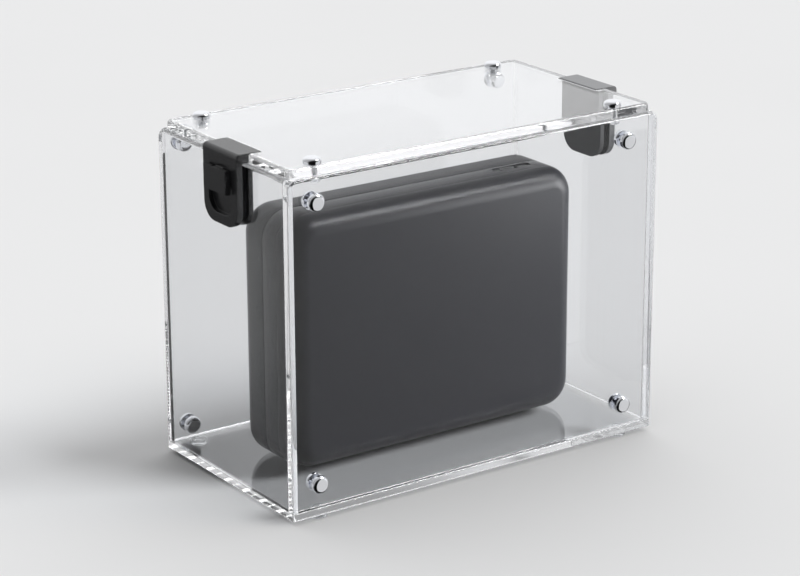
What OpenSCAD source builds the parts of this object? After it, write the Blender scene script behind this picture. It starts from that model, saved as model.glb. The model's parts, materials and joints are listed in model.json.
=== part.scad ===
// Clear acrylic collection box with two over-edge clips, a lift-off lid and a
// rounded clamshell cash case standing inside it.
// Frame: origin under the middle of the box on the surface it stands on,
// +X to the right along the long side, -Y to the front, +Z up. Millimetres.

/* [Clear box] */
// Outer width of the box, left to right
box_w = 304; // [250:1:380]
// Outer depth of the box, front to back
box_d = 165; // [138:1:210]
// Height from the base plate's underside to the lid's top
box_h = 240; // [195:1:300]
// Thickness of the wall sheet
sheet_t = 6; // [4:0.5:8]
// Thickness of the base plate
base_t = 6; // [5:0.5:10]
// Thickness of the lid plate
lid_t = 6.5; // [5:0.5:8]
// Setback of the lid's edge from the outside of the walls
lid_inset = 3.5; // [2:0.25:3.75]
// Radius of the lid's corners and of the walls' top corners
corner_r = 6; // [3:0.5:8]
// Radius of the base plate's corners
base_corner_r = 1.5; // [0.5:0.25:3]

/* [Feet] */
// Radius of a clear foot
foot_r = 6; // [4:0.5:7]
// Height of a clear foot
foot_h = 3; // [2:0.5:6]
// Distance of a foot's middle from the left and right faces
foot_side_inset = 24.5; // [12:0.5:40]
// Distance of a foot's middle from the front and back faces
foot_end_inset = 8; // [8:0.5:20]

/* [Chrome caps] */
// Radius of a chrome cap
cap_r = 6.2; // [5:0.1:7.4]
// Height of a chrome cap
cap_h = 4.5; // [4:0.1:5.4]
// Height of a cap's narrow foot ring
cap_foot_h = 0.5; // [0.3:0.1:0.8]
// Radius of the round shoulder on a cap
cap_shoulder_r = 2.5; // [1.5:0.1:3]
// Radius of the threaded stud under a cap
stud_r = 2; // [1.5:0.1:2.5]
// How far a stud runs into a cap
stud_grip = 2.5; // [1.5:0.1:3]

/* [Front wall fixings] */
// Cap middle to the left face
front_cap_left = 20; // [18:0.5:34]
// Cap middle to the right face
front_cap_right = 28; // [18:0.5:34]
// Cap middle below the lid's top
front_cap_drop = 22.5; // [22:0.5:34]
// Cap middle above the base plate's underside
front_cap_rise = 23.5; // [16:0.5:34]

/* [Back wall fixings] */
// Cap middle to the left face
back_cap_left = 20; // [18:0.5:34]
// Cap middle to the right face
back_cap_right = 22; // [18:0.5:34]
// Cap middle below the lid's top
back_cap_drop = 18; // [18:0.5:34]
// Cap middle above the base plate's underside
back_cap_rise = 16; // [16:0.5:34]

/* [Lid fixings] */
// Cap middle to the left face
lid_cap_left = 25; // [24:0.5:40]
// Cap middle to the right face
lid_cap_right = 33; // [24:0.5:40]
// Gap between a front boss and the inside of the front wall
front_boss_gap = 0.5; // [0.3:0.1:2]
// Gap between a back boss and the inside of the back wall
back_boss_gap = 7.5; // [5:0.1:12]
// Radius of the clear boss under a lid cap
boss_r = 3.6; // [3.2:0.1:4.5]
// Height of the clear boss under a lid cap
boss_h = 5; // [4:0.5:6]

/* [Clips] */
// Width of a clip along the wall
clip_w = 42; // [38:0.5:55]
// Offset of the clips' middle from the box's middle, towards the front
clip_offset = 8.5; // [0:0.5:12]
// How far the clip's legs reach below the top of the wall
clip_leg_h = 44.5; // [44:0.5:60]
// Thickness of the outer leg
outer_leg_t = 4.8; // [4.8:0.1:6]
// Thickness of the inner leg
inner_leg_t = 3.4; // [2.5:0.1:5]
// Radius of the legs' bottom corners
clip_corner_r = 12.5; // [8:0.5:16]
// Thickness of the rubber linings
lining_t = 0.8; // [0.5:0.1:1.5]
// How far the linings stop short of a leg's sides
lining_margin = 3; // [2:0.5:5]
// Gap under the clip's top plate, in the lid's rebate
plate_gap = 0.5; // [0.3:0.1:0.8]
// Thickness of the clip's top plate
plate_t = 2.4; // [2:0.1:2.8]
// How far the top plate stands above the lid's top
plate_rise = 0.4; // [0:0.1:1.5]
// How far the top plate reaches over the lid past its notch
plate_reach = 2.6; // [2.2:0.1:4]
// Radius of the bead along the top plate's inner edge
bead_r = 1.1; // [0.8:0.1:1.2]
// Radius of the clip's top outer edge
clip_round = 3; // [1:0.5:3.5]

/* [Clip paddle] */
// Width of the paddle
paddle_w = 27; // [22:0.5:30]
// Height of the paddle
paddle_h = 16.5; // [12:0.5:18]
// Top of the paddle below the top of the wall
paddle_drop = 5; // [4.5:0.5:7]
// How far the paddle stands out of the clip's face
paddle_proud = 4.4; // [4.2:0.1:5.5]
// Depth of the finger scoop under the paddle
scoop_depth = 3.6; // [2.5:0.1:3.8]
// Width of the finger scoop
scoop_w = 29; // [20:0.5:31]
// Bottom of the finger scoop below the top of the wall
scoop_drop = 37.5; // [34:0.5:39]
// Corner radius of the finger scoop
scoop_r = 10; // [6:0.5:12]
// Radius of the lug that holds the paddle's pin
lug_r = 1.5; // [1.4:0.05:1.6]
// Width of that lug
lug_w = 9; // [7:0.5:14]
// Radius of the paddle's pin
paddle_pin_r = 0.8; // [0.6:0.05:0.9]

/* [Cash case] */
// Depth of the case, front to back
case_d = 61; // [50:1:76]
// Thickness of the case's walls
case_t = 2.2; // [1.8:0.1:2.8]
// Radius of the case's outline corners
case_corner_r = 20.5; // [18:0.5:25]
// Radius of the roll from the case's sides into its faces
case_roll_r = 14; // [10:0.5:16]
// Open room at each side of the case inside the box
case_side_room = 26.5; // [20:0.5:60]
// Open room above the case under the lid
case_head_room = 46; // [44:0.5:80]
// How far the case stands to the right of the middle
case_shift_x = 3.5; // [-4:0.5:4]
// How far the case stands behind the middle
case_shift_y = 3; // [0:0.5:6]
// Width of the open line between the case's two shells
seam_gap = 0.8; // [0.8:0.05:1.2]
// Height of the case's rubber feet
case_foot_h = 1; // [0.5:0.1:2]
// Radius of the case's rubber feet
case_foot_r = 4; // [2:0.5:4.5]
// Middle of the case's feet from the ends of the case
case_foot_inset = 32.5; // [26:0.5:60]

/* [Case hinges] */
// Middle of the upper hinge below the case's top
hinge_drop = 36; // [34:0.5:60]
// Middle of the lower hinge above the case's bottom
hinge_rise = 42; // [36:0.5:60]
// Length of a hinge
hinge_len = 24; // [18:0.5:28]
// Radius of a hinge's barrel
hinge_barrel_r = 2.2; // [1.8:0.05:2.25]
// Radius of a hinge's pin
hinge_pin_r = 0.9; // [0.7:0.05:1]
// Thickness of a hinge leaf
leaf_t = 1.2; // [1:0.1:1.5]

/* [Case latch] */
// Middle of the latch from the case's right end
latch_inset = 40.5; // [38:0.5:60]
// Length of the latch's recess
latch_len = 32; // [28:0.5:36]
// Width of the latch's recess
latch_w = 7; // [6:0.5:8]
// Middle of the latch in front of the seam
latch_forward = 6.5; // [5.5:0.5:8]
// Length of the latch's sliding button
button_len = 12; // [10:0.5:14]
// Travel of the latch's sliding button
button_travel = 8; // [6:0.5:9]

/* [Hidden] */
$fn = 64;
// The clip and lid parts keep this far apart where they pass each other
slide_gap = 0.5;
// Rubber to sheet, and seal to shell
face_gap = 0.1;
// Round a stud, and round a pin that turns
stud_gap = 0.05;
pin_gap = 0.05;
seal_gap = 0.3;
barrel_gap = 0.3;
cut = 1;

base_z = foot_h;
base_top = base_z + base_t;
lid_top = base_z + box_h;
wall_top = lid_top - lid_t;
wall_h = wall_top - base_top;
side_d = box_d - 2 * sheet_t;

lid_front_inset = sheet_t + front_boss_gap + boss_r;
lid_back_inset = sheet_t + back_boss_gap + boss_r;
lid_cap_xs = [-box_w / 2 + lid_cap_left, box_w / 2 - lid_cap_right];
lid_cap_ys = [-box_d / 2 + lid_front_inset, box_d / 2 - lid_back_inset];
front_cap_xs = [-box_w / 2 + front_cap_left, box_w / 2 - front_cap_right];
front_cap_zs = [base_z + front_cap_rise, lid_top - front_cap_drop];
back_cap_xs = [-box_w / 2 + back_cap_left, box_w / 2 - back_cap_right];
back_cap_zs = [base_z + back_cap_rise, lid_top - back_cap_drop];

// Clip sizes, measured inwards from the wall's outer face
outer_leg_in = -face_gap - lining_t;
outer_leg_out = outer_leg_in - outer_leg_t;
inner_leg_in = sheet_t + face_gap + lining_t;
inner_leg_out = inner_leg_in + inner_leg_t;
notch_in = inner_leg_out + slide_gap;
notch_w = clip_w + 2 * slide_gap;
plate_end = notch_in + plate_reach;
rebate_in = plate_end + slide_gap;
plate_high = lid_t + plate_rise;
plate_low = plate_high - plate_t;
rebate_z = plate_low - plate_gap;
paddle_back = outer_leg_out - face_gap;
paddle_pin_x = outer_leg_out - 2;
paddle_pin_z = -paddle_drop - 2;
paddle_round = paddle_back - paddle_pin_x;
scoop_top = -paddle_drop - paddle_h / 2;
scoop_floor = outer_leg_out + scoop_depth;
pin_reach = 5;

// Cash case sizes, in its own frame: the seam's middle, the bottom edge
case_w = box_w - 2 * (sheet_t + case_side_room);
case_h = wall_h - case_foot_h - case_head_room;
case_z = base_top + case_foot_h;
shell_d = (case_d - seam_gap) / 2;
hinge_zs = [hinge_rise, case_h - hinge_drop];
hinge_x = -case_w / 2 + case_t + barrel_gap + hinge_barrel_r;
middle_knuckle = hinge_len * 0.4;
knuckle_gap = 0.2;
leaf_start = hinge_barrel_r + barrel_gap;
back_screw_y = 3.4;
front_screw_y = -10.4;
screw_up = 3;
screw_head_r = 1.2;
screw_shank_r = 0.8;
screw_sink = 0.4;
screw_head_h = 0.9;
screw_gap = 0.05;
back_leaf_end = 8;
front_leaf_end = 14;
latch_x = case_w / 2 - latch_inset;
latch_plate_t = 1.2;
latch_sink = 0.9;
latch_slot_w = 3.2;
button_w = latch_w - 1.6;
button_top = 0.2;
rib_h = 0.5;
seal_t = 1.4;
seal_in_back = 6;
seal_in_front = 2;
arm_drop = case_t + seal_t + 1;
arm_t = 1.4;
arm_w = 4;
arm_reach = 4;
keeper_w = 5;
case_foot_x = case_w / 2 - case_foot_inset;
case_foot_y = (seam_gap + shell_d - case_roll_r) / 2;

// ---- outlines ----

// Rectangle w by h about the origin with four round corners
module round_rect(w, h, r) {
    square([w - 2 * r, h], center = true);
    square([w, h - 2 * r], center = true);
    for (sx = [-1, 1], sy = [-1, 1])
        translate([sx * (w / 2 - r), sy * (h / 2 - r)]) circle(r);
}

// Upright rectangle on y = 0 with round top corners
module wall_outline(w, h, r) {
    translate([-w / 2, 0]) square([w, h - r]);
    translate([-w / 2 + r, 0]) square([w - 2 * r, h]);
    for (s = [-1, 1]) translate([s * (w / 2 - r), h - r]) circle(r);
}

// Tongue from y = top down to y = -drop with round bottom corners
module tongue_outline(w, drop, r, top) {
    translate([-w / 2, r - drop]) square([w, top + drop - r]);
    translate([-w / 2 + r, -drop]) square([w - 2 * r, top + drop]);
    for (s = [-1, 1]) translate([s * (w / 2 - r), r - drop]) circle(r);
}

// Stadium of length l and width w along x
module stadium(l, w) {
    square([l - w, w], center = true);
    for (s = [-1, 1]) translate([s * (l - w) / 2, 0]) circle(w / 2);
}

// Quarter disc in the first quadrant
module quarter(r) {
    intersection() {
        circle(r);
        square(r);
    }
}

// ---- clear box ----

module base_plate() {
    color([0.9, 0.94, 0.96, 0.35])
        translate([0, 0, base_z])
            linear_extrude(base_t) round_rect(box_w, box_d, base_corner_r);
}

// Long wall whose outer face is at y = -box_d/2, drilled at xs and zs
module long_wall(xs, zs) {
    difference() {
        translate([0, -box_d / 2 + sheet_t, base_top])
            rotate([90, 0, 0]) linear_extrude(sheet_t) wall_outline(box_w, wall_h, corner_r);
        for (x = xs, z = zs)
            translate([x, -box_d / 2 + sheet_t / 2, z])
                rotate([90, 0, 0]) cylinder(r = stud_r + stud_gap, h = sheet_t + 2 * cut, center = true);
    }
}

module front_wall() {
    color([0.9, 0.94, 0.96, 0.35]) long_wall(front_cap_xs, front_cap_zs);
}

module back_wall() {
    color([0.9, 0.94, 0.96, 0.35]) mirror([0, 1, 0]) long_wall(back_cap_xs, back_cap_zs);
}

module end_wall() {
    translate([-box_w / 2, -side_d / 2, base_top]) cube([sheet_t, side_d, wall_h]);
}

module left_wall() {
    color([0.9, 0.94, 0.96, 0.35]) end_wall();
}

module right_wall() {
    color([0.9, 0.94, 0.96, 0.35]) mirror([1, 0, 0]) end_wall();
}

// Clear puck with a rounded lower edge
module foot() {
    edge = foot_h / 3;
    rotate_extrude() {
        square([foot_r - edge, foot_h]);
        translate([0, edge]) square([foot_r, foot_h - edge]);
        translate([foot_r - edge, edge]) mirror([0, 1]) quarter(edge);
    }
}

module feet() {
    color([0.88, 0.92, 0.94, 0.5])
        for (sx = [-1, 1], sy = [-1, 1])
            translate([sx * (box_w / 2 - foot_side_inset), sy * (box_d / 2 - foot_end_inset), 0]) foot();
}

// ---- caps and studs ----

// Turned cap standing on z = 0 with a narrow foot ring and a round shoulder
module cap() {
    difference() {
        rotate_extrude() {
            square([cap_r - cap_foot_h, cap_h - cap_shoulder_r]);
            square([cap_r - cap_shoulder_r, cap_h]);
            translate([0, cap_foot_h]) square([cap_r, cap_h - cap_shoulder_r - cap_foot_h]);
            translate([cap_r - cap_shoulder_r, cap_h - cap_shoulder_r]) quarter(cap_shoulder_r);
        }
        translate([0, 0, -cut]) cylinder(r = stud_r + stud_gap, h = stud_grip + cut);
    }
}

// Caps on a wall face at y, pointing along turn
module wall_caps(xs, zs, y, turn) {
    color([0.82, 0.84, 0.87])
        for (x = xs, z = zs)
            translate([x, y, z]) rotate([turn, 0, 0]) cap();
}

// Studs through the wall whose outer face is at y = -box_d/2
module wall_studs(xs, zs) {
    reach = stud_grip - stud_gap;
    color([0.7, 0.72, 0.74])
        for (x = xs, z = zs)
            translate([x, -box_d / 2 + sheet_t + reach, z])
                rotate([90, 0, 0]) cylinder(r = stud_r, h = sheet_t + 2 * reach);
}

module front_outer_caps() {
    wall_caps(front_cap_xs, front_cap_zs, -box_d / 2, 90);
}

module front_inner_caps() {
    wall_caps(front_cap_xs, front_cap_zs, -box_d / 2 + sheet_t, -90);
}

module front_studs() {
    wall_studs(front_cap_xs, front_cap_zs);
}

module back_outer_caps() {
    wall_caps(back_cap_xs, back_cap_zs, box_d / 2, -90);
}

module back_inner_caps() {
    wall_caps(back_cap_xs, back_cap_zs, box_d / 2 - sheet_t, 90);
}

module back_studs() {
    mirror([0, 1, 0]) wall_studs(back_cap_xs, back_cap_zs);
}

// ---- lid ----

module lid_plate() {
    color([0.9, 0.94, 0.96, 0.35])
        difference() {
            translate([0, 0, wall_top])
                linear_extrude(lid_t)
                    round_rect(box_w - 2 * lid_inset, box_d - 2 * lid_inset, corner_r);
            for (s = [-1, 1])
                translate([s * (box_w / 2 - notch_in / 2), -clip_offset, wall_top + lid_t / 2])
                    cube([notch_in, notch_w, lid_t + 2 * cut], center = true);
            for (s = [-1, 1])
                translate([s * (box_w / 2 - rebate_in / 2), -clip_offset, wall_top + rebate_z + lid_t / 2])
                    cube([rebate_in, notch_w, lid_t], center = true);
            for (x = lid_cap_xs, y = lid_cap_ys)
                translate([x, y, wall_top - cut]) cylinder(r = stud_r + stud_gap, h = lid_t + 2 * cut);
        }
}

module lid_bosses() {
    color([0.88, 0.92, 0.94, 0.5])
        for (x = lid_cap_xs, y = lid_cap_ys)
            translate([x, y, wall_top - boss_h])
                difference() {
                    cylinder(r = boss_r, h = boss_h);
                    translate([0, 0, cut]) cylinder(r = stud_r + stud_gap, h = boss_h);
                }
}

module lid_caps() {
    color([0.82, 0.84, 0.87])
        for (x = lid_cap_xs, y = lid_cap_ys)
            translate([x, y, lid_top]) cap();
}

module lid_studs() {
    low = wall_top - boss_h + cut + stud_gap;
    color([0.7, 0.72, 0.74])
        for (x = lid_cap_xs, y = lid_cap_ys)
            translate([x, y, low]) cylinder(r = stud_r, h = lid_top + stud_grip - stud_gap - low);
}

// ---- clips: x runs inwards from the wall's outer face, z = 0 is the wall's top ----

// Stands an outline drawn in (y, z) up as a plate from x = from to x = to
module upright(from, to) {
    translate([from, 0, 0]) rotate([90, 0, 90]) linear_extrude(to - from) children();
}

module place_left() {
    translate([-box_w / 2, -clip_offset, wall_top]) children();
}

module place_right() {
    mirror([1, 0, 0]) place_left() children();
}

// Black bracket: outer leg, bridge over the wall, top plate and inner leg
module clip_body() {
    difference() {
        union() {
            upright(outer_leg_out, outer_leg_in)
                tongue_outline(clip_w, clip_leg_h, clip_corner_r, plate_high);
            upright(inner_leg_in, inner_leg_out)
                tongue_outline(clip_w, clip_leg_h, clip_corner_r, plate_high);
            translate([outer_leg_out, -clip_w / 2, barrel_gap])
                cube([inner_leg_out - outer_leg_out, clip_w, plate_high - barrel_gap]);
            translate([outer_leg_out, -clip_w / 2, plate_low])
                cube([plate_end - bead_r - outer_leg_out, clip_w, plate_t]);
            translate([plate_end - bead_r, 0, plate_high - bead_r])
                rotate([90, 0, 0]) cylinder(r = bead_r, h = clip_w, center = true);
            translate([plate_end - 2 * bead_r, -clip_w / 2, plate_low])
                cube([2 * bead_r, clip_w, plate_t - bead_r]);
            translate([paddle_pin_x, 0, paddle_pin_z]) {
                rotate([90, 0, 0]) cylinder(r = lug_r, h = lug_w, center = true);
                translate([0, -lug_w / 2, -lug_r])
                    cube([outer_leg_out + cut - paddle_pin_x, lug_w, 2 * lug_r]);
            }
        }
        top_outer_edge();
        upright(outer_leg_out - cut, scoop_floor)
            tongue_outline(scoop_w, scoop_drop, scoop_r, scoop_top);
        translate([paddle_pin_x, 0, paddle_pin_z])
            rotate([90, 0, 0])
                cylinder(r = paddle_pin_r + stud_gap / 2, h = lug_w + 2 * cut, center = true);
    }
}

// What the round top outer edge leaves off the bracket
module top_outer_edge() {
    translate([outer_leg_out, 0, plate_high])
        difference() {
            cube([2 * clip_round, clip_w + 2 * cut, 2 * clip_round], center = true);
            translate([clip_round, 0, -clip_round])
                rotate([90, 0, 0]) cylinder(r = clip_round, h = clip_w + 4 * cut, center = true);
        }
}

// Rubber linings on the inner faces of both legs
module clip_linings() {
    drop = clip_leg_h - lining_margin;
    for (x = [outer_leg_in, sheet_t + face_gap])
        upright(x, x + lining_t)
            tongue_outline(clip_w - 2 * lining_margin, drop, clip_corner_r - lining_margin, -lining_margin);
}

module clip_pin() {
    translate([paddle_pin_x, paddle_w / 2 - face_gap, paddle_pin_z])
        rotate([90, 0, 0])
            cylinder(r = paddle_pin_r, h = paddle_w / 2 - face_gap + lug_w / 2 + pin_reach);
}

// Raised square paddle that swings out about its pin, notched behind for the lug
module clip_paddle() {
    front = outer_leg_out - paddle_proud;
    low = -paddle_drop - paddle_h;
    gap_w = lug_w + 2 * slide_gap;
    room = lug_r + barrel_gap;
    difference() {
        translate([0, paddle_w / 2, 0])
            rotate([90, 0, 0])
                linear_extrude(paddle_w) {
                    translate([front, low]) square([paddle_back - front, paddle_pin_z - low]);
                    translate([front, paddle_pin_z])
                        square([paddle_pin_x - front, -paddle_drop - paddle_pin_z]);
                    translate([paddle_pin_x, paddle_pin_z]) circle(paddle_round);
                }
        translate([paddle_pin_x - room, -gap_w / 2, paddle_pin_z - room])
            cube([2 * paddle_round, gap_w, 2 * paddle_round + room]);
        translate([paddle_pin_x, paddle_w / 2 + cut, paddle_pin_z])
            rotate([90, 0, 0])
                cylinder(r = paddle_pin_r + pin_gap, h = paddle_w / 2 + cut + lug_w / 2 + pin_reach + slide_gap);
    }
}

module left_clip_body() {
    color([0.07, 0.07, 0.08]) place_left() clip_body();
}

module left_clip_linings() {
    color([0.12, 0.12, 0.13]) place_left() clip_linings();
}

module left_clip_pin() {
    color([0.5, 0.5, 0.52]) place_left() clip_pin();
}

module left_clip_paddle() {
    color([0.1, 0.1, 0.11]) place_left() clip_paddle();
}

module right_clip_body() {
    color([0.07, 0.07, 0.08]) place_right() clip_body();
}

module right_clip_linings() {
    color([0.12, 0.12, 0.13]) place_right() clip_linings();
}

module right_clip_pin() {
    color([0.5, 0.5, 0.52]) place_right() clip_pin();
}

module right_clip_paddle() {
    color([0.1, 0.1, 0.11]) place_right() clip_paddle();
}

// ---- cash case: x from its middle, y from the seam, z from its bottom ----

module place_case() {
    translate([case_shift_x, case_shift_y, case_z]) children();
}

// Solid w by h by depth about the origin, rolled over into its far face
module pillow(w, h, depth, r, roll) {
    bar_w = w - 2 * r;
    bar_h = h - 2 * r;
    rotate([90, 0, 90]) translate([0, 0, -bar_w / 2]) linear_extrude(bar_w) rolled_section(h, depth, roll);
    rotate([90, 0, 0]) translate([0, 0, -bar_h / 2]) linear_extrude(bar_h) rolled_section(w, depth, roll);
    for (sx = [-1, 1], sy = [-1, 1])
        translate([sx * bar_w / 2, sy * bar_h / 2, 0])
            rotate_extrude() {
                square([r - roll, depth]);
                square([r, depth - roll]);
                translate([r - roll, depth - roll]) quarter(roll);
            }
}

// Section of a pillow: width along x, depth along y
module rolled_section(width, depth, roll) {
    translate([-width / 2, 0]) square([width, depth - roll]);
    translate([-width / 2 + roll, 0]) square([width - 2 * roll, depth]);
    translate([width / 2 - roll, depth - roll]) quarter(roll);
    mirror([1, 0]) translate([width / 2 - roll, depth - roll]) quarter(roll);
}

// Hollow half of the case, opening on z = 0
module half_shell() {
    difference() {
        pillow(case_w, case_h, shell_d, case_corner_r, case_roll_r);
        translate([0, 0, -cut])
            pillow(case_w - 2 * case_t, case_h - 2 * case_t, shell_d - case_t + cut,
                case_corner_r - case_t, case_roll_r - case_t);
    }
}

// Turns a half so that its opening is at the seam and its face looks back
module behind_seam() {
    translate([0, seam_gap / 2, case_h / 2]) rotate([-90, 0, 0]) children();
}

module before_seam() {
    translate([0, -seam_gap / 2, case_h / 2]) rotate([90, 0, 0]) children();
}

// Stepped holes for the hinge screws through the left wall at y
module screw_holes(y, up) {
    for (z = hinge_zs)
        translate([-case_w / 2, y, z + up])
            rotate([0, 90, 0]) {
                translate([0, 0, -cut])
                    cylinder(r = screw_head_r + screw_gap, h = cut + screw_sink + screw_head_h);
                cylinder(r = screw_shank_r + screw_gap, h = case_t + leaf_t + cut);
            }
}

module case_back_shell() {
    color([0.28, 0.29, 0.31])
        place_case()
            difference() {
                behind_seam() half_shell();
                screw_holes(back_screw_y, screw_up);
            }
}

module case_front_shell() {
    color([0.26, 0.27, 0.29])
        place_case()
            difference() {
                before_seam() half_shell();
                screw_holes(front_screw_y, -screw_up);
                translate([latch_x, -latch_forward, case_h - case_t - cut])
                    linear_extrude(case_t + 2 * cut) stadium(latch_len, latch_w);
            }
}

// Stepped rubber ring that closes the line between the shells from inside
module case_seal() {
    outer_w = case_w - 2 * case_t;
    outer_h = case_h - 2 * case_t;
    outer_r = case_corner_r - case_t;
    room = hinge_len + 2;
    color([0.05, 0.05, 0.05])
        place_case()
            difference() {
                translate([0, seal_in_back, case_h / 2]) rotate([90, 0, 0]) {
                    linear_extrude(seal_in_back - seam_gap / 2)
                        round_rect(outer_w, outer_h, outer_r);
                    linear_extrude(seal_in_back + seal_in_front)
                        round_rect(outer_w - 2 * seal_gap, outer_h - 2 * seal_gap, outer_r - seal_gap);
                }
                translate([0, seal_in_back + cut, case_h / 2]) rotate([90, 0, 0])
                    linear_extrude(seal_in_back + seal_in_front + 2 * cut)
                        round_rect(outer_w - 2 * seal_t, outer_h - 2 * seal_t, outer_r - seal_t);
                for (z = hinge_zs)
                    translate([-case_w / 2, -seal_in_front - cut, z - room / 2])
                        cube([2 * case_corner_r / 2, back_leaf_end + seal_in_front + 2 * cut, room]);
            }
}

// Upright knuckle on the hinge axis between two heights
module knuckle(low, high) {
    translate([hinge_x, 0, low]) cylinder(r = hinge_barrel_r, h = high - low);
}

// Flat of a hinge leaf against the inside of the left wall
module leaf_flat(low, high, near, far) {
    translate([-case_w / 2 + case_t, min(near, far), low])
        cube([leaf_t, abs(far - near), high - low]);
}

module case_back_leaves() {
    inner = middle_knuckle / 2 + knuckle_gap;
    color([0.6, 0.62, 0.64])
        place_case()
            for (z = hinge_zs)
                difference() {
                    union() {
                        leaf_flat(z - hinge_len / 2, z + hinge_len / 2, leaf_start, back_leaf_end);
                        for (s = [-1, 1]) {
                            low = s < 0 ? z - hinge_len / 2 : z + inner;
                            high = s < 0 ? z - inner : z + hinge_len / 2;
                            knuckle(low, high);
                            leaf_flat(low, high, 0, leaf_start + cut);
                        }
                    }
                    translate([hinge_x, 0, z]) cylinder(r = hinge_pin_r + pin_gap / 2, h = hinge_len + cut, center = true);
                    screw_holes(back_screw_y, screw_up);
                }
}

module case_front_leaves() {
    half = middle_knuckle / 2;
    color([0.6, 0.62, 0.64])
        place_case()
            for (z = hinge_zs)
                difference() {
                    union() {
                        leaf_flat(z - hinge_len / 2, z + hinge_len / 2, -leaf_start, -front_leaf_end);
                        knuckle(z - half, z + half);
                        leaf_flat(z - half, z + half, 0, -leaf_start - cut);
                    }
                    translate([hinge_x, 0, z]) cylinder(r = hinge_pin_r + pin_gap, h = hinge_len + cut, center = true);
                    screw_holes(front_screw_y, -screw_up);
                }
}

module case_hinge_pins() {
    color([0.5, 0.5, 0.52])
        place_case()
            for (z = hinge_zs)
                translate([hinge_x, 0, z]) cylinder(r = hinge_pin_r, h = hinge_len, center = true);
}

// Screws through the left wall into a leaf at y
module hinge_screws(y, up) {
    color([0.15, 0.15, 0.16])
        place_case()
            for (z = hinge_zs)
                translate([-case_w / 2 + screw_sink, y, z + up])
                    rotate([0, 90, 0]) {
                        cylinder(r = screw_head_r, h = screw_head_h);
                        cylinder(r = screw_shank_r, h = case_t + leaf_t - screw_sink);
                    }
}

module case_back_screws() {
    hinge_screws(back_screw_y, screw_up);
}

module case_front_screws() {
    hinge_screws(front_screw_y, -screw_up);
}

// Sunken plate in the latch's recess, with a slot for the button's neck
module case_latch_plate() {
    slot = button_travel + latch_slot_w + 2 * slide_gap;
    color([0.12, 0.12, 0.13])
        place_case()
            translate([latch_x, -latch_forward, case_h - latch_sink - latch_plate_t])
                difference() {
                    linear_extrude(latch_plate_t) stadium(latch_len, latch_w);
                    translate([0, 0, -cut])
                        linear_extrude(latch_plate_t + 2 * cut)
                            stadium(slot, latch_slot_w + 2 * barrel_gap);
                }
}

// Ribbed button, its neck through the slot, and the arm that reaches the keeper
module case_latch_slider() {
    start = latch_x - button_travel / 2;
    plate_top = case_h - latch_sink;
    button_h = latch_sink - button_top - face_gap;
    color([0.32, 0.33, 0.35])
        place_case() {
            translate([start, -latch_forward, plate_top + face_gap])
                difference() {
                    linear_extrude(button_h) stadium(button_len, button_w);
                    for (i = [-1, 0, 1])
                        translate([i * 2.4, 0, button_h]) cube([1, button_w, 2 * rib_h / 2], center = true);
                }
            translate([start, -latch_forward, case_h - arm_drop - arm_t])
                cylinder(r = latch_slot_w / 2, h = arm_drop + arm_t - latch_sink + face_gap + button_h / 2);
            translate([start - arm_w / 2, -latch_forward, case_h - arm_drop - arm_t])
                cube([arm_w, latch_forward + arm_reach, arm_t]);
        }
}

// Block behind the seam that the latch's arm lies beside
module case_latch_keeper() {
    start = latch_x - button_travel / 2 - arm_w / 2 - slide_gap - keeper_w;
    near = seal_in_back;
    color([0.6, 0.62, 0.64])
        place_case()
            difference() {
                translate([start, near, case_h - case_t - seal_t - 6])
                    cube([keeper_w, keeper_w, 6 + seal_t]);
                translate([start + keeper_w / 2, near - cut, case_h - arm_drop - arm_t - slide_gap])
                    cube([keeper_w, keeper_w / 2 + cut, arm_t + 2 * slide_gap]);
            }
}

// Round pads under one shell, on the side of the seam given by s
module case_pads(s) {
    color([0.05, 0.05, 0.05])
        place_case()
            for (sx = [-1, 1])
                translate([sx * case_foot_x, s * case_foot_y, -case_foot_h])
                    cylinder(r = case_foot_r, h = case_foot_h);
}

module case_back_feet() {
    case_pads(1);
}

module case_front_feet() {
    case_pads(-1);
}

base_plate();
front_wall();
back_wall();
left_wall();
right_wall();
feet();
front_outer_caps();
front_inner_caps();
front_studs();
back_outer_caps();
back_inner_caps();
back_studs();
lid_plate();
lid_bosses();
lid_caps();
lid_studs();
left_clip_body();
left_clip_linings();
left_clip_pin();
left_clip_paddle();
right_clip_body();
right_clip_linings();
right_clip_pin();
right_clip_paddle();
case_back_shell();
case_front_shell();
case_seal();
case_back_leaves();
case_front_leaves();
case_hinge_pins();
case_back_screws();
case_front_screws();
case_latch_plate();
case_latch_slider();
case_latch_keeper();
case_back_feet();
case_front_feet();
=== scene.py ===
import json
import math

import bmesh
import bpy
from mathutils import Matrix, Vector

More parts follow.
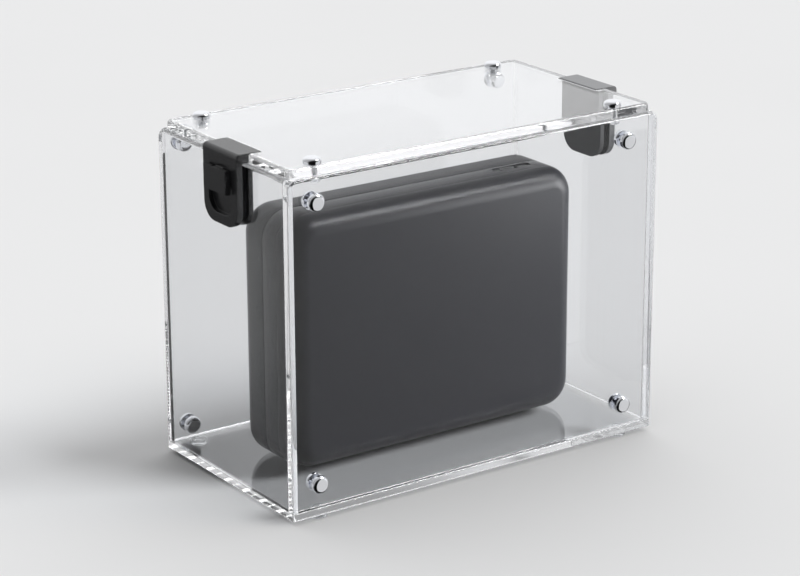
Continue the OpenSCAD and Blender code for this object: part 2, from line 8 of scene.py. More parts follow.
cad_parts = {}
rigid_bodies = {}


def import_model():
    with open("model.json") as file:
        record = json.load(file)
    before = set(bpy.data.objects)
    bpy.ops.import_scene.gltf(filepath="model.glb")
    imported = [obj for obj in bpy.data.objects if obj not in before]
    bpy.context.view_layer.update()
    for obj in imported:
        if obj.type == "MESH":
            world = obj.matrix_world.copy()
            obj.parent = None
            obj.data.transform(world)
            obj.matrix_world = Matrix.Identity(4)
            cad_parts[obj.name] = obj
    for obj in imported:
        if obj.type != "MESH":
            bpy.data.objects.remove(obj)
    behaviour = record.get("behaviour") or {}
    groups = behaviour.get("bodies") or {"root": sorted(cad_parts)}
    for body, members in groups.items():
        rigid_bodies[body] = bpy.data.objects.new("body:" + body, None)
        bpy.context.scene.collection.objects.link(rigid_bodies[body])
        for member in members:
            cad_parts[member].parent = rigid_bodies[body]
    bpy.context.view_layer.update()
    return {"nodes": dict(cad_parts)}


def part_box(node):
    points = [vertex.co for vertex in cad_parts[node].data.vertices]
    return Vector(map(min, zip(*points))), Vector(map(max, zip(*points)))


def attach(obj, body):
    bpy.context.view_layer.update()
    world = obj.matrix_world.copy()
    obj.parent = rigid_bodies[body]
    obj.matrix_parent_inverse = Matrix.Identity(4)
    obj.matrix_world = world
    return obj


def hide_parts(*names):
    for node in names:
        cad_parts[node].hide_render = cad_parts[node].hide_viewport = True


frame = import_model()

MM = 0.001

# ---- sizes that the pieces share, in metres ----
CAP_R = 6.2 * MM
CAP_H = 4.5 * MM
CAP_FOOT = 0.5 * MM
CAP_SHOULDER = 2.5 * MM
STUD_R = 2.0 * MM
BOSS_R = 3.6 * MM
BOSS_BORE = 2.05 * MM
FOOT_R = 6.0 * MM
CASE_CORNER = 20.5 * MM
CASE_ROLL = 14.0 * MM
CASE_WALL = 2.2 * MM
HAIRLINE = 0.5 * MM
RIM_ROUND = 0.35 * MM
GLUE_LINE = 0.03 * MM
PINHOLE_R = 1.25 * MM
PINHOLE_DEPTH = 2.6 * MM
LATCH_CUT = 12 * MM
BORE_ROOM = 8 * MM
BORE_RIM_R = 2.6 * MM
OUTLINE_BAND = 5 * MM
NOTCH_HALF = 34 * MM
SHORT_EDGE = 0.45 * MM
CLIP_EDGE = 0.4 * MM
PADDLE_EDGE = 0.35 * MM
CORNER_STEPS = 16
FLAT_STEPS = 12
TURNS = 64
FLAT_AREA = 20 * MM * MM
SOFT_TURN = math.radians(50)
SHARP_TURN = math.radians(38)

GLASS_BOUNCES = 96
CLEAR_BOUNCES = 32


# ---- node helpers ----
def new_material(name):
    """An empty material and its tree, output and surface shader ready."""
    mat = bpy.data.materials.new(name)
    mat.use_nodes = True
    tree = mat.node_tree
    shader = tree.nodes["Principled BSDF"]
    return mat, tree, shader


def add(tree, kind, **values):
    """Adds a node; values are attributes, or sockets where the name has a capital."""
    node = tree.nodes.new(kind)
    for key, value in values.items():
        socket = key.replace("_", " ")
        if key[0].isupper() and socket in node.inputs:
            node.inputs[socket].default_value = value
        else:
            setattr(node, key, value)
    return node


def object_noise(tree, scale, detail=2.0, rough=0.5, stretch=(1, 1, 1)):
    """Noise on object coordinates, stretched by a Mapping node."""
    coords = add(tree, "ShaderNodeTexCoord")
    mapping = add(tree, "ShaderNodeMapping")
    mapping.inputs["Scale"].default_value = stretch
    noise = add(tree, "ShaderNodeTexNoise", Scale=scale, Detail=detail, Roughness=rough)
    tree.links.new(coords.outputs["Object"], mapping.inputs["Vector"])
    tree.links.new(mapping.outputs["Vector"], noise.inputs["Vector"])
    return noise.outputs["Fac"]


def spread(tree, value, low, high):
    """Maps a 0..1 value onto low..high."""
    ramp = add(tree, "ShaderNodeMapRange")
    ramp.inputs["From Min"].default_value = 0.25
    ramp.inputs["From Max"].default_value = 0.75
    ramp.inputs["To Min"].default_value = low
    ramp.inputs["To Max"].default_value = high
    tree.links.new(value, ramp.inputs["Value"])
    return ramp.outputs["Result"]


def tint(tree, value, dark, light):
    """Mixes two colours by a 0..1 value."""
    mix = add(tree, "ShaderNodeMix", data_type="RGBA")
    mix.inputs["A"].default_value = (*dark, 1)
    mix.inputs["B"].default_value = (*light, 1)
    tree.links.new(value, mix.inputs["Factor"])
    return mix.outputs["Result"]


def bump(tree, shader, height, distance, strength=1.0):
    """Feeds a height into the shader's normal."""
    node = add(tree, "ShaderNodeBump", Strength=strength, Distance=distance)
    tree.links.new(height, node.inputs["Height"])
    tree.links.new(node.outputs["Normal"], shader.inputs["Normal"])
    return node


def let_lamps_through(mat, tree, shader, colour):
    """Lamps shine through the sheet onto what is behind it."""
    clear = add(tree, "ShaderNodeBsdfTransparent")
    clear.inputs["Color"].default_value = (*colour, 1)
    path = add(tree, "ShaderNodeLightPath")
    mix = add(tree, "ShaderNodeMixShader")
    tree.links.new(path.outputs["Is Shadow Ray"], mix.inputs[0])
    tree.links.new(shader.outputs["BSDF"], mix.inputs[1])
    tree.links.new(clear.outputs["BSDF"], mix.inputs[2])
    tree.links.new(mix.outputs["Shader"], tree.nodes["Material Output"].inputs["Surface"])


# ---- materials ----
def clear_acrylic():
    """Cast acrylic sheet: faintly wavy, faintly uneven gloss."""
    mat, tree, shader = new_material("clear_acrylic")
    shader.inputs["Base Color"].default_value = (0.965, 0.97, 0.978, 1)
    shader.inputs["Transmission Weight"].default_value = 1.0
    shader.inputs["IOR"].default_value = 1.49
    shader.inputs["Specular IOR Level"].default_value = 0.2
    haze = object_noise(tree, 60.0, 3.0)
    tree.links.new(spread(tree, haze, 0.0, 0.01), shader.inputs["Roughness"])
    wave = object_noise(tree, 9.0, 1.0)
    bump(tree, shader, wave, 0.1 * MM, 0.15)
    let_lamps_through(mat, tree, shader, (0.975, 0.98, 0.985))
    return mat


def clear_vinyl():
    """Soft clear bumper: a little cloudy."""
    mat, tree, shader = new_material("clear_vinyl")
    shader.inputs["Base Color"].default_value = (0.95, 0.96, 0.97, 1)
    shader.inputs["Transmission Weight"].default_value = 1.0
    shader.inputs["IOR"].default_value = 1.45
    cloud = object_noise(tree, 400.0, 2.0)
    tree.links.new(spread(tree, cloud, 0.03, 0.12), shader.inputs["Roughness"])
    bump(tree, shader, cloud, 0.05 * MM, 0.3)
    let_lamps_through(mat, tree, shader, (0.9, 0.91, 0.92))
    return mat


def polished_chrome():
    """Bright plate with a breath of haze."""
    mat, tree, shader = new_material("polished_chrome")
    shader.inputs["Base Color"].default_value = (0.86, 0.87, 0.9, 1)
    shader.inputs["Metallic"].default_value = 1.0
    haze = object_noise(tree, 500.0, 3.0)
    tree.links.new(spread(tree, haze, 0.03, 0.1), shader.inputs["Roughness"])
    fine = object_noise(tree, 2500.0, 1.0)
    bump(tree, shader, fine, 0.01 * MM, 0.15)
    return mat


def plated_steel():
    """Zinc-plated steel with a fine grain."""
    mat, tree, shader = new_material("plated_steel")
    grain = object_noise(tree, 900.0, 4.0, stretch=(1, 1, 0.2))
    colour = tint(tree, grain, (0.46, 0.47, 0.48), (0.66, 0.67, 0.68))
    tree.links.new(colour, shader.inputs["Base Color"])
    shader.inputs["Metallic"].default_value = 1.0
    tree.links.new(spread(tree, grain, 0.25, 0.42), shader.inputs["Roughness"])
    bump(tree, shader, grain, 0.02 * MM, 0.4)
    return mat


def graphite_shell():
    """Soft-touch graphite moulding: very fine spark grain under a satin coat."""
    mat, tree, shader = new_material("graphite_shell")
    cloud = object_noise(tree, 14.0, 3.0)
    colour = tint(tree, cloud, (0.0068, 0.0070, 0.0095), (0.0076, 0.0078, 0.0105))
    tree.links.new(colour, shader.inputs["Base Color"])
    swell = object_noise(tree, 45.0, 1.0)
    tree.links.new(spread(tree, cloud, 0.285, 0.315), shader.inputs["Roughness"])
    shader.inputs["Specular IOR Level"].default_value = 0.21
    bump(tree, shader, swell, 0.004 * MM, 0.5)
    return mat


def clip_black():
    """Black moulded nylon: fine satin texture."""
    mat, tree, shader = new_material("clip_black")
    cloud = object_noise(tree, 60.0, 2.0)
    colour = tint(tree, cloud, (0.013, 0.013, 0.014), (0.018, 0.018, 0.019))
    tree.links.new(colour, shader.inputs["Base Color"])
    grain = object_noise(tree, 1500.0, 2.0)
    tree.links.new(spread(tree, grain, 0.2, 0.28), shader.inputs["Roughness"])
    shader.inputs["IOR"].default_value = 1.55
    shader.inputs["Specular IOR Level"].default_value = 0.6
    bump(tree, shader, grain, 0.003 * MM, 0.15)
    return mat


def clip_grey():
    """Grey moulded nylon: the same texture, duller."""
    mat, tree, shader = new_material("clip_grey")
    cloud = object_noise(tree, 60.0, 2.0)
    colour = tint(tree, cloud, (0.27, 0.272, 0.28), (0.31, 0.312, 0.32))
    tree.links.new(colour, shader.inputs["Base Color"])
    grain = object_noise(tree, 1500.0, 2.0)
    tree.links.new(spread(tree, grain, 0.45, 0.55), shader.inputs["Roughness"])
    shader.inputs["Specular IOR Level"].default_value = 0.3
    bump(tree, shader, grain, 0.004 * MM, 0.15)
    return mat


def latch_dark():
    """Dark satin moulding of the latch."""
    mat, tree, shader = new_material("latch_dark")
    cloud = object_noise(tree, 200.0, 2.0)
    colour = tint(tree, cloud, (0.010, 0.010, 0.011), (0.018, 0.018, 0.019))
    tree.links.new(colour, shader.inputs["Base Color"])
    tree.links.new(spread(tree, cloud, 0.28, 0.38), shader.inputs["Roughness"])
    bump(tree, shader, object_noise(tree, 3000.0), 0.02 * MM, 0.3)
    return mat


def matt_rubber():
    """Matt black rubber."""
    mat, tree, shader = new_material("matt_rubber")
    cloud = object_noise(tree, 300.0, 3.0)
    colour = tint(tree, cloud, (0.003, 0.003, 0.003), (0.006, 0.006, 0.006))
    tree.links.new(colour, shader.inputs["Base Color"])
    tree.links.new(spread(tree, cloud, 0.7, 0.88), shader.inputs["Roughness"])
    bump(tree, shader, object_noise(tree, 1800.0, 3.0), 0.05 * MM, 0.5)
    return mat


def black_screw():
    """Blackened steel screw heads."""
    mat, tree, shader = new_material("black_screw")
    cloud = object_noise(tree, 900.0, 2.0)
    colour = tint(tree, cloud, (0.02, 0.02, 0.022), (0.05, 0.05, 0.052))
    tree.links.new(colour, shader.inputs["Base Color"])
    shader.inputs["Metallic"].default_value = 0.8
    tree.links.new(spread(tree, cloud, 0.3, 0.5), shader.inputs["Roughness"])
    bump(tree, shader, cloud, 0.02 * MM, 0.3)
    return mat


# ---- mesh helpers ----
def new_object(name, mesh, material):
    """A finished piece at the origin."""
    obj = bpy.data.objects.new(name, mesh)
    bpy.context.scene.collection.objects.link(obj)
    mesh.materials.clear()
    mesh.materials.append(material)
    return obj


def mesh_from(bm, name):
    mesh = bpy.data.meshes.new(name)
    bm.to_mesh(mesh)
    bm.free()
    return mesh


def smooth_by_angle(mesh, degrees):
    """Smooth faces, with sharp edges past an angle."""
    for poly in mesh.polygons:
        poly.use_smooth = True
    bm = bmesh.new()
    bm.from_mesh(mesh)
    for edge in bm.edges:
        if len(edge.link_faces) == 2:
            edge.smooth = edge.calc_face_angle(0.0) < math.radians(degrees)
    bm.to_mesh(mesh)
    bm.free()


def evaluated(obj):
    """Applies the live modifiers and returns the object with a plain mesh."""
    graph = bpy.context.evaluated_depsgraph_get()
    mesh = bpy.data.meshes.new_from_object(obj.evaluated_get(graph))
    mesh.name = obj.data.name
    obj.modifiers.clear()
    obj.data = mesh
    return obj


def dress_normals(mesh):
    """Big flat faces stay true; a rounded edge (material index 1) blends into them."""
    bm = bmesh.new()
    bm.from_mesh(mesh)
    bm.normal_update()
    normals = []
    for face in bm.faces:
        rounded = face.material_index == 1
        flat = not rounded and face.calc_area() > FLAT_AREA
        for loop in face.loops:
            if flat:
                normals.append(face.normal.copy())
                continue
            total = Vector((0, 0, 0))
            best = None
            for other in loop.vert.link_faces:
                if other.material_index == 1:
                    continue
                turn = other.normal.angle(face.normal, 0.0)
                if other.calc_area() > FLAT_AREA and turn < SOFT_TURN:
                    if best is None or turn < best[0]:
                        best = (turn, other.normal.copy())
                if turn < SOFT_TURN:
                    total += other.normal * other.calc_area()
            if best is not None:
                normals.append(best[1])
                continue
            if total.length < 1e-12:
                for other in loop.vert.link_faces:
                    if other.normal.angle(face.normal, 0.0) < SOFT_TURN:
                        total += other.normal * other.calc_area()
            normals.append(total.normalized())
    bm.free()
    for poly in mesh.polygons:
        poly.use_smooth = True
        poly.material_index = 0
    mesh.normals_split_custom_set(normals)


def edge_widths(bm, rule):
    """Writes how wide each sharp edge is rounded, as a share of the widest."""
    layer = bm.edges.layers.float.new("bevel_weight_edge")
    widths = {}
    for edge in bm.edges:
        if len(edge.link_faces) == 2 and edge.calc_face_angle(0.0) > SHARP_TURN:
            middle = (edge.verts[0].co + edge.verts[1].co) / 2
            widths[edge] = rule(middle, edge)
    widest = max(widths.values())
    for edge, width in widths.items():
        edge[layer] = width / widest
    return widest


def copy_of(node, name, material, rule, steps=3, shrink=0.0):
    """A copy of a CAD node with rounded edges, to stand for it."""
    source = frame["nodes"][node].data
    bm = bmesh.new()
    bm.from_mesh(source)
    bmesh.ops.remove_doubles(bm, verts=bm.verts, dist=1e-6)
    bmesh.ops.dissolve_limit(bm, angle_limit=math.radians(0.4), verts=bm.verts, edges=bm.edges)
    if shrink:
        low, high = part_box(node)
        middle = (low + high) / 2
        for vert in bm.verts:
            for i in range(3):
                vert.co[i] -= math.copysign(shrink, vert.co[i] - middle[i])
    bm.normal_update()
    widest = edge_widths(bm, rule)
    mesh = mesh_from(bm, name)
    for layer in ("custom_normal", "sharp_face", "sharp_edge"):
        if layer in mesh.attributes:
            mesh.attributes.remove(mesh.attributes[layer])
    obj = new_object(name, mesh, material)
    mesh.materials.append(material)
    for poly in mesh.polygons:
        poly.use_smooth = True
        poly.material_index = 0
    bevel = obj.modifiers.new("round_edges", "BEVEL")
    bevel.width = widest
    bevel.segments = steps
    bevel.limit_method = "WEIGHT"
    bevel.material = 1
    bevel.use_clamp_overlap = True
    evaluated(obj)
    dress_normals(obj.data)
    obj.data.materials.pop(index=1)
    if "bevel_weight_edge" in obj.data.attributes:
        obj.data.attributes.remove(obj.data.attributes["bevel_weight_edge"])
    return obj


def lathe(profile, name):
    """Closed mesh turned about Z from a profile of (radius, height), bottom to top."""
    bm = bmesh.new()
    rings = []
    for radius, height in profile:
        if radius < 1e-7:
            rings.append([bm.verts.new((0, 0, height))])
            continue
        ring = []
        for i in range(TURNS):
            angle = 2 * math.pi * i / TURNS
            ring.append(bm.verts.new((radius * math.cos(angle), radius * math.sin(angle), height)))
        rings.append(ring)
    for low, high in zip(rings, rings[1:]):
        for i in range(TURNS):
            j = (i + 1) % TURNS
            corners = [low[i % len(low)], low[j % len(low)], high[j % len(high)], high[i % len(high)]]
            face = list(dict.fromkeys(corners))
            if len(face) > 2:
                bm.faces.new(face)
    bmesh.ops.recalc_face_normals(bm, faces=bm.faces)
    mesh = mesh_from(bm, name)
    smooth_by_angle(mesh, 35)
    return mesh


def arc(cx, cz, radius, start, end, steps):
    """Points on an arc in the profile's plane, angles in degrees."""
    points = []
    for i in range(steps + 1):
        angle = math.radians(start + (end - start) * i / steps)
        points.append((cx + radius * math.cos(angle), cz + radius * math.sin(angle)))
    return points


# ---- what repeats: a geometry node tree that sets a piece out on a rectangle ----
def rectangle_tree():
    """Puts the incoming mesh on the four corners of a rectangle."""
    tree = bpy.data.node_groups.new("four_on_a_rectangle", "GeometryNodeTree")
    face = tree.interface
    face.new_socket("Geometry", in_out="INPUT", socket_type="NodeSocketGeometry")
    for name in ("Middle", "Across", "Up", "Turn"):
        face.new_socket(name, in_out="INPUT", socket_type="NodeSocketVector")
    face.new_socket("Finish", in_out="INPUT", socket_type="NodeSocketMaterial")
    face.new_socket("Geometry", in_out="OUTPUT", socket_type="NodeSocketGeometry")
    nodes, links = tree.nodes, tree.links
    group_in = nodes.new("NodeGroupInput")
    group_out = nodes.new("NodeGroupOutput")
    rows = []
    for side in (-1.0, 1.0):
        half_up = nodes.new("ShaderNodeVectorMath")
        half_up.operation = "SCALE"
        half_up.inputs["Scale"].default_value = side * 0.5
        links.new(group_in.outputs["Up"], half_up.inputs[0])
        half_across = nodes.new("ShaderNodeVectorMath")
        half_across.operation = "SCALE"
        half_across.inputs["Scale"].default_value = -0.5
        links.new(group_in.outputs["Across"], half_across.inputs[0])
        corner = nodes.new("ShaderNodeVectorMath")
        links.new(half_up.outputs[0], corner.inputs[0])
        links.new(half_across.outputs[0], corner.inputs[1])
        start = nodes.new("ShaderNodeVectorMath")
        links.new(corner.outputs[0], start.inputs[0])
        links.new(group_in.outputs["Middle"], start.inputs[1])
        line = nodes.new("GeometryNodeMeshLine")
        line.mode = "OFFSET"
        line.inputs["Count"].default_value = 2
        links.new(start.outputs[0], line.inputs["Start Location"])
        links.new(group_in.outputs["Across"], line.inputs["Offset"])
        rows.append(line.outputs["Mesh"])
    both = nodes.new("GeometryNodeJoinGeometry")
    for row in rows:
        links.new(row, both.inputs["Geometry"])
    place = nodes.new("GeometryNodeInstanceOnPoints")
    links.new(both.outputs["Geometry"], place.inputs["Points"])
    links.new(group_in.outputs["Geometry"], place.inputs["Instance"])
    links.new(group_in.outputs["Turn"], place.inputs["Rotation"])
    real = nodes.new("GeometryNodeRealizeInstances")
    links.new(place.outputs["Instances"], real.inputs["Geometry"])
    finish = nodes.new("GeometryNodeSetMaterial")
    links.new(real.outputs["Geometry"], finish.inputs["Geometry"])
    links.new(group_in.outputs["Finish"], finish.inputs["Material"])
    links.new(finish.outputs["Geometry"], group_out.inputs["Geometry"])
    return tree


def set_input(tree, modifier, name, value):
    """Sets a tree's named input on a modifier by the socket's identifier."""
    for item in tree.interface.items_tree:
        if item.item_type == "SOCKET" and item.in_out == "INPUT" and item.name == name:
            modifier[item.identifier] = value


def four_of(tree, name, mesh, material, node, radius, turn, along, body):
    """Four of a turned piece, on the places that the CAD node's box gives."""
    low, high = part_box(node)
    middle = (low + high) / 2
    plane = [0, 1, 2]
    plane.remove(along)
    across = Vector((0, 0, 0))
    up = Vector((0, 0, 0))
    across[plane[0]] = high[plane[0]] - low[plane[0]] - 2 * radius
    up[plane[1]] = high[plane[1]] - low[plane[1]] - 2 * radius
    seat = {"low": low[along], "high": high[along]}[turn["from"]]
    middle[along] = seat
    obj = new_object(name, mesh.copy(), material)
    modifier = obj.modifiers.new("set_out", "NODES")
    modifier.node_group = tree
    set_input(tree, modifier, "Middle", middle)
    set_input(tree, modifier, "Across", across)
    set_input(tree, modifier, "Up", up)
    set_input(tree, modifier, "Turn", turn["angles"])
    set_input(tree, modifier, "Finish", material)
    evaluated(obj)
    obj.data.name = name
    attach(obj, body)
    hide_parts(node)
    return obj


# Which way a turned piece points, and the side of its box that it stands on
UPWARDS = {"angles": (0, 0, 0), "from": "low"}
FORWARDS = {"angles": (math.pi / 2, 0, 0), "from": "high"}
BACKWARDS = {"angles": (-math.pi / 2, 0, 0), "from": "low"}


# ---- turned pieces ----
def cap_mesh():
    """Chrome cap: foot ring, band, round shoulder, slightly crowned end."""
    profile = [(0, 0.02 * MM), (CAP_R - CAP_FOOT, 0.02 * MM)]
    profile += [(CAP_R - CAP_FOOT, CAP_FOOT)]
    profile += [(CAP_R - 0.12 * MM, CAP_FOOT), (CAP_R, CAP_FOOT + 0.12 * MM)]
    shoulder_z = CAP_H - CAP_SHOULDER
    profile += arc(CAP_R - CAP_SHOULDER, shoulder_z - 0.05 * MM, CAP_SHOULDER, 0, 84, 14)
    face_r = CAP_R - CAP_SHOULDER
    for share in (0.9, 0.7, 0.45, 0.2, 0.0):
        crown = 0.05 * MM * (1 - share * share)
        profile.append((face_r * share, CAP_H - 0.05 * MM + crown))
    return lathe(profile, "cap")


def stud_mesh(length):
    """Plain stud with eased ends."""
    ease = 0.2 * MM
    profile = [(0, 0), (STUD_R - ease, 0), (STUD_R, ease), (STUD_R, length - ease)]
    profile += [(STUD_R - ease, length), (0, length)]
    return lathe(profile, "stud")


def foot_mesh(radius, height):
    """Clear bumper: round lower edge, shallow dish underneath."""
    edge = height / 3
    profile = [(0, 0.25 * MM), (radius * 0.45, 0.25 * MM), (radius * 0.55, 0)]
    profile += arc(radius - edge, edge, edge, -90, 0, 8)
    top = height - 0.02 * MM
    profile += [(radius, height - 0.2 * MM), (radius - 0.2 * MM, top), (0, top)]
    return lathe(profile, "foot")


def boss_mesh(radius, height):
    """Clear sleeve nut under the lid, with a blind bore from above."""
    ease = 0.4 * MM
    profile = [(0, 0), (radius - ease, 0), (radius, ease), (radius, height - 0.05 * MM)]
    profile += [(BOSS_BORE, height - 0.05 * MM), (BOSS_BORE, 1.0 * MM), (0, 1.0 * MM)]
    return lathe(profile, "boss")


# ---- cash case ----
def rounded_ring(bm, w, h, r, y, middle):
    """One ring of verts on a rounded rectangle in the XZ plane at y."""
    ring = []
    corners = ((1, 1, 0), (-1, 1, 90), (-1, -1, 180), (1, -1, 270))
    for k, (sx, sz, start) in enumerate(corners):
        cx = middle.x + sx * (w / 2 - r)
        cz = middle.z + sz * (h / 2 - r)
        for i in range(CORNER_STEPS + 1):
            angle = math.radians(start + 90 * i / CORNER_STEPS)
            ring.append(Vector((cx + r * math.cos(angle), y, cz + r * math.sin(angle))))
        nsx, nsz, nstart = corners[(k + 1) % 4]
        ncx = middle.x + nsx * (w / 2 - r)
        ncz = middle.z + nsz * (h / 2 - r)
        angle = math.radians(nstart)
        end = Vector((ncx + r * math.cos(angle), y, ncz + r * math.sin(angle)))
        begin = ring[-1].copy()
        for i in range(1, FLAT_STEPS):
            ring.append(begin.lerp(end, i / FLAT_STEPS))
    return [bm.verts.new(p) for p in ring]


def bridge(bm, a, b):
    """Faces between two rings of equal length."""
    n = len(a)
    for i in range(n):
        j = (i + 1) % n
        bm.faces.new((a[i], a[j], b[j], b[i]))


def half_shell(name, node, side, material, hairline):
    """One half of the case as rings: outer skin, rolled face, inner skin, rim."""
    low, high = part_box(node)
    middle = (low + high) / 2
    w = high.x - low.x
    h = high.z - low.z
    depth = high.y - low.y
    rim_y = low.y if side > 0 else high.y
    rings = [(RIM_ROUND, 0.0)]
    for a in (30, 60, 90):
        angle = math.radians(a)
        rings.append((RIM_ROUND * (1 - math.sin(angle)), RIM_ROUND * (1 - math.cos(angle))))
    start = depth - CASE_ROLL
    rings += [(0.0, start * 0.5)]
    if hairline:
        groove = HAIRLINE * 1.2
        rings += [(0.0, start - groove), (0.08 * MM, start - 0.6 * HAIRLINE)]
        rings += [(groove, start - 0.1 * MM), (groove, start + 0.1 * MM)]
        rings += [(0.08 * MM, start + 0.6 * HAIRLINE), (0.005 * MM, start + groove)]
        first = 6
    else:
        rings += [(0.0, start)]
        first = 4
    for a in range(first, 91, 4):
        angle = math.radians(min(a, 90))
        rings.append((CASE_ROLL * (1 - math.cos(angle)), start + CASE_ROLL * math.sin(angle)))
    rings.append((CASE_ROLL, depth))
    bm = bmesh.new()

    def skin(profile):
        made = []
        for inset, d in profile:
            wide = w - 2 * inset
            tall = h - 2 * inset
            made.append(rounded_ring(bm, wide, tall, CASE_CORNER - inset, rim_y + side * d, middle))
        return made

    outer = skin(rings)
    roll_in = CASE_ROLL - CASE_WALL
    inner_rings = [(CASE_WALL, 0.0), (CASE_WALL, start)]
    for a in range(10, 91, 10):
        angle = math.radians(a)
        inset = CASE_WALL + roll_in * (1 - math.cos(angle))
        inner_rings.append((inset, start + roll_in * math.sin(angle)))
    inner = skin(inner_rings)
    for a, b in zip(outer, outer[1:]):
        bridge(bm, a, b)
    for a, b in zip(inner, inner[1:]):
        bridge(bm, a, b)
    bridge(bm, outer[0], inner[0])
    bm.faces.new(outer[-1])
    bm.faces.new(inner[-1])
    bmesh.ops.remove_doubles(bm, verts=bm.verts, dist=1e-7)
    bmesh.ops.recalc_face_normals(bm, faces=bm.faces)
    mesh = mesh_from(bm, name)
    return new_object(name, mesh, material)


def stadium_cutter(length, width, height, middle):
    """Upright stadium prism, long side along X."""
    bm = bmesh.new()
    points = []
    r = width / 2
    for sx, start in ((1, -90), (-1, 90)):
        for i in range(17):
            angle = math.radians(start + 180 * i / 16)
            points.append((sx * (length / 2 - r) + r * math.cos(angle), r * math.sin(angle)))
    verts = [bm.verts.new((middle.x + x, middle.y + y, middle.z - height / 2)) for x, y in points]
    face = bm.faces.new(verts)
    top = bmesh.ops.extrude_face_region(bm, geom=[face])
    for item in top["geom"]:
        if isinstance(item, bmesh.types.BMVert):
            item.co.z += height
    bmesh.ops.recalc_face_normals(bm, faces=bm.faces)
    return bpy.data.objects.new("cutter", mesh_from(bm, "cutter"))


def hole_cutter(x, y, z, radius, length):
    """Cylinder along X for a screw hole."""
    bm = bmesh.new()
    turn = Matrix.Translation((x, y, z)) @ Matrix.Rotation(math.pi / 2, 4, "Y")
    bmesh.ops.create_cone(
        bm, cap_ends=True, segments=24, radius1=radius, radius2=radius, depth=length, matrix=turn
    )
    return bpy.data.objects.new("cutter", mesh_from(bm, "cutter"))


def cut(obj, cutter):
    """Cuts a hole and clears the cutter away."""
    bpy.context.scene.collection.objects.link(cutter)
    modifier = obj.modifiers.new("hole", "BOOLEAN")
    modifier.operation = "DIFFERENCE"
    modifier.solver = "EXACT"
    modifier.object = cutter
    evaluated(obj)
    bpy.data.objects.remove(cutter)


def screw_holes(obj, node, shell):
    """Pinholes over the hinge screws of one shell."""
    low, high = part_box(node)
    wall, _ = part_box(shell)
    y = (low.y + high.y) / 2
    half = (high.y - low.y) / 2
    for z in (low.z + half, high.z - half):
        cut(obj, hole_cutter(wall.x, y, z, PINHOLE_R, PINHOLE_DEPTH))


def cash_case(graphite):
    """Both shells, cut for the latch and the hinge screws."""
    back = half_shell("case_back", "case_back_shell", 1, graphite, False)
    screw_holes(back, "case_back_screws", "case_back_shell")
    smooth_by_angle(back.data, 32)
    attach(back, "case")
    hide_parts("case_back_shell")
    front = half_shell("case_front", "case_front_shell", -1, graphite, True)
    screw_holes(front, "case_front_screws", "case_front_shell")
    low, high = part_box("case_latch_plate")
    middle = (low + high) / 2
    cutter = stadium_cutter(high.x - low.x, high.y - low.y, LATCH_CUT, middle)
    cut(front, cutter)
    smooth_by_angle(front.data, 32)
    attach(front, "case_cover")
    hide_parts("case_front_shell")


# ---- clear box ----
def near(a, b):
    """Whether two places are the same but for the glue line."""
    return abs(a - b) < 0.2 * MM


def end_wall_rule(node, outward):
    """End wall: full round along the outer top, less elsewhere."""
    low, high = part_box(node)
    face = low.x if outward < 0 else high.x

    def rule(middle, edge):
        if edge.calc_length() < SHORT_EDGE and not near(middle.z, high.z):
            return 0.0
        if near(middle.z, high.z):
            return 2.4 * MM if near(middle.x, face) else 0.8 * MM
        if near(middle.z, low.z):
            return 0.4 * MM
        return 0.5 * MM

    return rule


def long_wall_rule(node, outward):
    """Front and back wall: one round all along the outer outline, none on the bores."""
    low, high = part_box(node)
    face = low.y if outward < 0 else high.y

    def rule(middle, edge):
        at_side = min(middle.x - low.x, high.x - middle.x) < BORE_ROOM
        at_end = near(middle.z, low.z) or high.z - middle.z < BORE_ROOM
        if not (at_side or at_end):
            return 0.0
        if near(middle.z, low.z):
            return 0.4 * MM
        return 2.0 * MM if near(middle.y, face) else 0.7 * MM

    return rule


def lid_rule(middle, edge):
    """Lid: soft top outline, less underneath, small in the notches, none on the bores."""
    low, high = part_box("lid_plate")
    from_end = min(middle.x - low.x, high.x - middle.x)
    from_side = min(middle.y - low.y, high.y - middle.y)
    at_end = from_end < OUTLINE_BAND and abs(middle.y) > NOTCH_HALF
    at_side = from_side < OUTLINE_BAND and abs(middle.x) < high.x - OUTLINE_BAND
    on_outline = at_end or at_side
    at_bore = any(
        (middle.x - x) ** 2 + (middle.y - y) ** 2 < BORE_RIM_R ** 2
        for x in lid_bores[0] for y in lid_bores[1]
    )
    if at_bore:
        return 0.0
    if on_outline and near(middle.z, high.z):
        return 2.2 * MM
    if on_outline and near(middle.z, low.z):
        return 1.1 * MM
    return 0.35 * MM


def bores_of_lid():
    """Middles of the lid's stud bores, from the studs' box."""
    low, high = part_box("lid_studs")
    return (low.x + STUD_R, high.x - STUD_R), (low.y + STUD_R, high.y - STUD_R)


lid_bores = bores_of_lid()


def base_rule(middle, edge):
    """Base plate: soft lower outline, small upper one."""
    low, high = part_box("base_plate")
    return 1.8 * MM if near(middle.z, low.z) else 0.5 * MM


def clear_box(acrylic):
    """Base plate, four walls and lid, with eased and polished edges."""
    plates = (
        ("base_plate", "box", base_rule),
        ("front_wall", "box", long_wall_rule("front_wall", -1)),
        ("back_wall", "box", long_wall_rule("back_wall", 1)),
        ("left_wall", "box", end_wall_rule("left_wall", -1)),
        ("right_wall", "box", end_wall_rule("right_wall", 1)),
        ("lid_plate", "lid", lid_rule),
    )
    for node, body, rule in plates:
        plate = copy_of(node, "clear_" + node, acrylic, rule, 5, GLUE_LINE)
        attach(plate, body)
        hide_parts(node)


def even(width):
    """The same rounding on every sharp edge."""
    return lambda middle, edge: width


